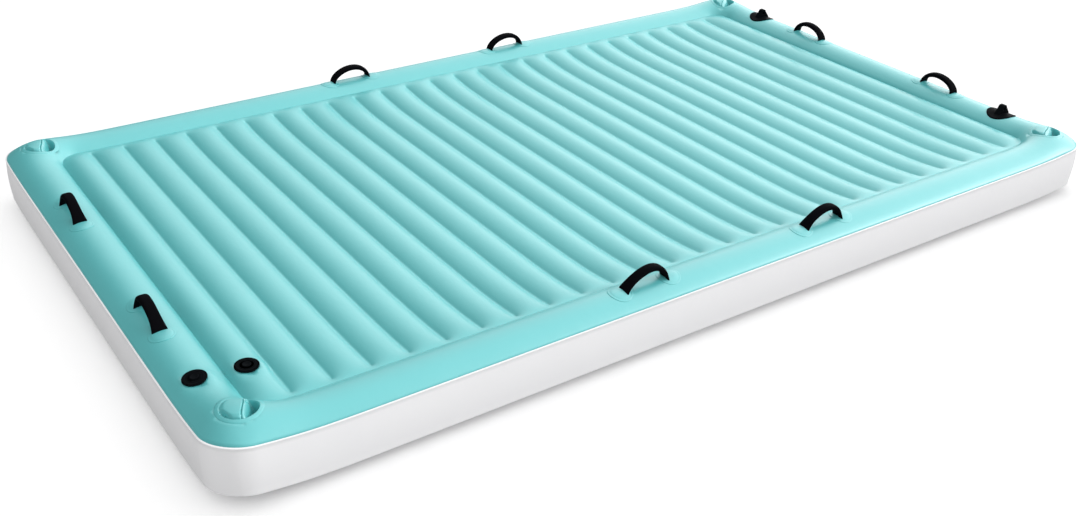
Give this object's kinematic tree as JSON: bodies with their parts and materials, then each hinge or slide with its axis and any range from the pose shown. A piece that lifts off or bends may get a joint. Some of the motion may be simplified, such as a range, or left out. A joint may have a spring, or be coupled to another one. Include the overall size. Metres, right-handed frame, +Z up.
{
  "type": "inflatable pool lounger",
  "caption": "Two-chamber inflatable mat with a cross-ribbed deck inside a raised border, corner cup holders, grab handles, screw valves and tow eyes",
  "frame": {"origin": "middle of the mat on the surface it stands on", "axes": "+X along the length towards the end with the tow eyes, +Y towards the far long side, +Z up"},
  "size_m": [3.1, 1.85, 0.2335],
  "materials": {
    "teal_vinyl": "satin, finely grained",
    "white_vinyl": "satin, finely grained",
    "black_strap": "smooth, slightly glossy",
    "black_plastic": "moulded, semi-gloss"
  },
  "bodies": {
    "mat": {"top_sheet": "teal_vinyl", "bottom_sheet": "white_vinyl", "side_wall": "white_vinyl", "chamber_wall": "white_vinyl", "folded_web": "white_vinyl", "cup_far_right_sleeve": "teal_vinyl", "cup_far_right_floor": "teal_vinyl", "cup_far_left_sleeve": "teal_vinyl", "cup_far_left_floor": "teal_vinyl", "cup_near_left_sleeve": "teal_vinyl", "cup_near_left_floor": "teal_vinyl", "cup_near_right_sleeve": "teal_vinyl", "cup_near_right_floor": "teal_vinyl", "near_left_handle_patch_a": "teal_vinyl", "near_left_handle_patch_b": "teal_vinyl", "far_left_handle_patch_a": "teal_vinyl", "far_left_handle_patch_b": "teal_vinyl", "near_right_handle_patch_a": "teal_vinyl", "near_right_handle_patch_b": "teal_vinyl", "far_right_handle_patch_a": "teal_vinyl", "far_right_handle_patch_b": "teal_vinyl", "right_near_handle_patch_a": "teal_vinyl", "right_near_handle_patch_b": "teal_vinyl", "left_near_handle_patch_a": "teal_vinyl", "left_near_handle_patch_b": "teal_vinyl", "right_far_handle_patch_a": "teal_vinyl", "right_far_handle_patch_b": "teal_vinyl", "left_far_handle_patch_a": "teal_vinyl", "left_far_handle_patch_b": "teal_vinyl", "border_valve_socket": "black_plastic", "rib_valve_socket": "black_plastic", "tow_eye_near": "black_plastic", "tow_eye_far": "black_plastic"},
    "near_left_handle": {"near_left_handle_strap": "black_strap"},
    "far_left_handle": {"far_left_handle_strap": "black_strap"},
    "near_right_handle": {"near_right_handle_strap": "black_strap"},
    "far_right_handle": {"far_right_handle_strap": "black_strap"},
    "right_near_handle": {"right_near_handle_strap": "black_strap"},
    "left_near_handle": {"left_near_handle_strap": "black_strap"},
    "right_far_handle": {"right_far_handle_strap": "black_strap"},
    "left_far_handle": {"left_far_handle_strap": "black_strap"},
    "border_valve": {"border_valve_body": "black_plastic"},
    "border_valve_plug": {"border_valve_plug": "black_plastic"},
    "border_valve_flap": {"border_valve_flap": "black_plastic"},
    "rib_valve": {"rib_valve_body": "black_plastic"},
    "rib_valve_plug": {"rib_valve_plug": "black_plastic"},
    "rib_valve_flap": {"rib_valve_flap": "black_plastic"}
  },
  "joints": [
    {"name": "near_left_handle_sway", "type": "hinge", "parent": "mat", "child": "near_left_handle", "pos_m": [-0.3348, -0.85668, 0.1865], "axis": [1, 0, 0], "range_deg": [-25, 25], "stiffness_Nm_per_rad": 0.3},
    {"name": "far_left_handle_sway", "type": "hinge", "parent": "mat", "child": "far_left_handle", "pos_m": [-0.3348, 0.85668, 0.1865], "axis": [-1, 0, 0], "range_deg": [-25, 25], "stiffness_Nm_per_rad": 0.3},
    {"name": "near_right_handle_sway", "type": "hinge", "parent": "mat", "child": "near_right_handle", "pos_m": [0.3348, -0.85668, 0.1865], "axis": [1, 0, 0], "range_deg": [-25, 25], "stiffness_Nm_per_rad": 0.3},
    {"name": "far_right_handle_sway", "type": "hinge", "parent": "mat", "child": "far_right_handle", "pos_m": [0.3348, 0.85668, 0.1865], "axis": [-1, 0, 0], "range_deg": [-25, 25], "stiffness_Nm_per_rad": 0.3},
    {"name": "right_near_handle_sway", "type": "hinge", "parent": "mat", "child": "right_near_handle", "pos_m": [1.47784, -0.33022, 0.1865], "axis": [0, 1, 0], "range_deg": [-25, 25], "stiffness_Nm_per_rad": 0.3},
    {"name": "left_near_handle_sway", "type": "hinge", "parent": "mat", "child": "left_near_handle", "pos_m": [-1.47784, -0.33022, 0.1865], "axis": [0, -1, 0], "range_deg": [-25, 25], "stiffness_Nm_per_rad": 0.3},
    {"name": "right_far_handle_sway", "type": "hinge", "parent": "mat", "child": "right_far_handle", "pos_m": [1.47784, 0.33022, 0.1865], "axis": [0, 1, 0], "range_deg": [-25, 25], "stiffness_Nm_per_rad": 0.3},
    {"name": "left_far_handle_sway", "type": "hinge", "parent": "mat", "child": "left_far_handle", "pos_m": [-1.47784, 0.33022, 0.1865], "axis": [0, -1, 0], "range_deg": [-25, 25], "stiffness_Nm_per_rad": 0.3},
    {"name": "border_valve_turn", "type": "hinge", "parent": "mat", "child": "border_valve", "pos_m": [-1.47784, -0.634, 0.185], "axis": [-0.1045, 0, 0.9945], "range_deg": [0, 360]},
    {"name": "border_valve_plug_lift", "type": "hinge", "parent": "border_valve", "child": "border_valve_plug", "pos_m": [-1.4894, -0.634, 0.18972], "axis": [0, -1, 0], "range_deg": [0, 150]},
    {"name": "border_valve_flap_open", "type": "hinge", "parent": "border_valve", "child": "border_valve_flap", "pos_m": [-1.48789, -0.634, 0.17057], "axis": [0, 1, 0], "range_deg": [0, 60], "stiffness_Nm_per_rad": 0.001, "springref_deg": -11.46},
    {"name": "rib_valve_turn", "type": "hinge", "parent": "mat", "child": "rib_valve", "pos_m": [-1.352, -0.634, 0.173], "axis": [0, 0, 1], "range_deg": [0, 360]},
    {"name": "rib_valve_plug_lift", "type": "hinge", "parent": "rib_valve", "child": "rib_valve_plug", "pos_m": [-1.363, -0.634, 0.1789], "axis": [0, -1, 0], "range_deg": [0, 150]},
    {"name": "rib_valve_flap_open", "type": "hinge", "parent": "rib_valve", "child": "rib_valve_flap", "pos_m": [-1.3635, -0.634, 0.1597], "axis": [0, 1, 0], "range_deg": [0, 60], "stiffness_Nm_per_rad": 0.001, "springref_deg": -11.46}
  ]
}
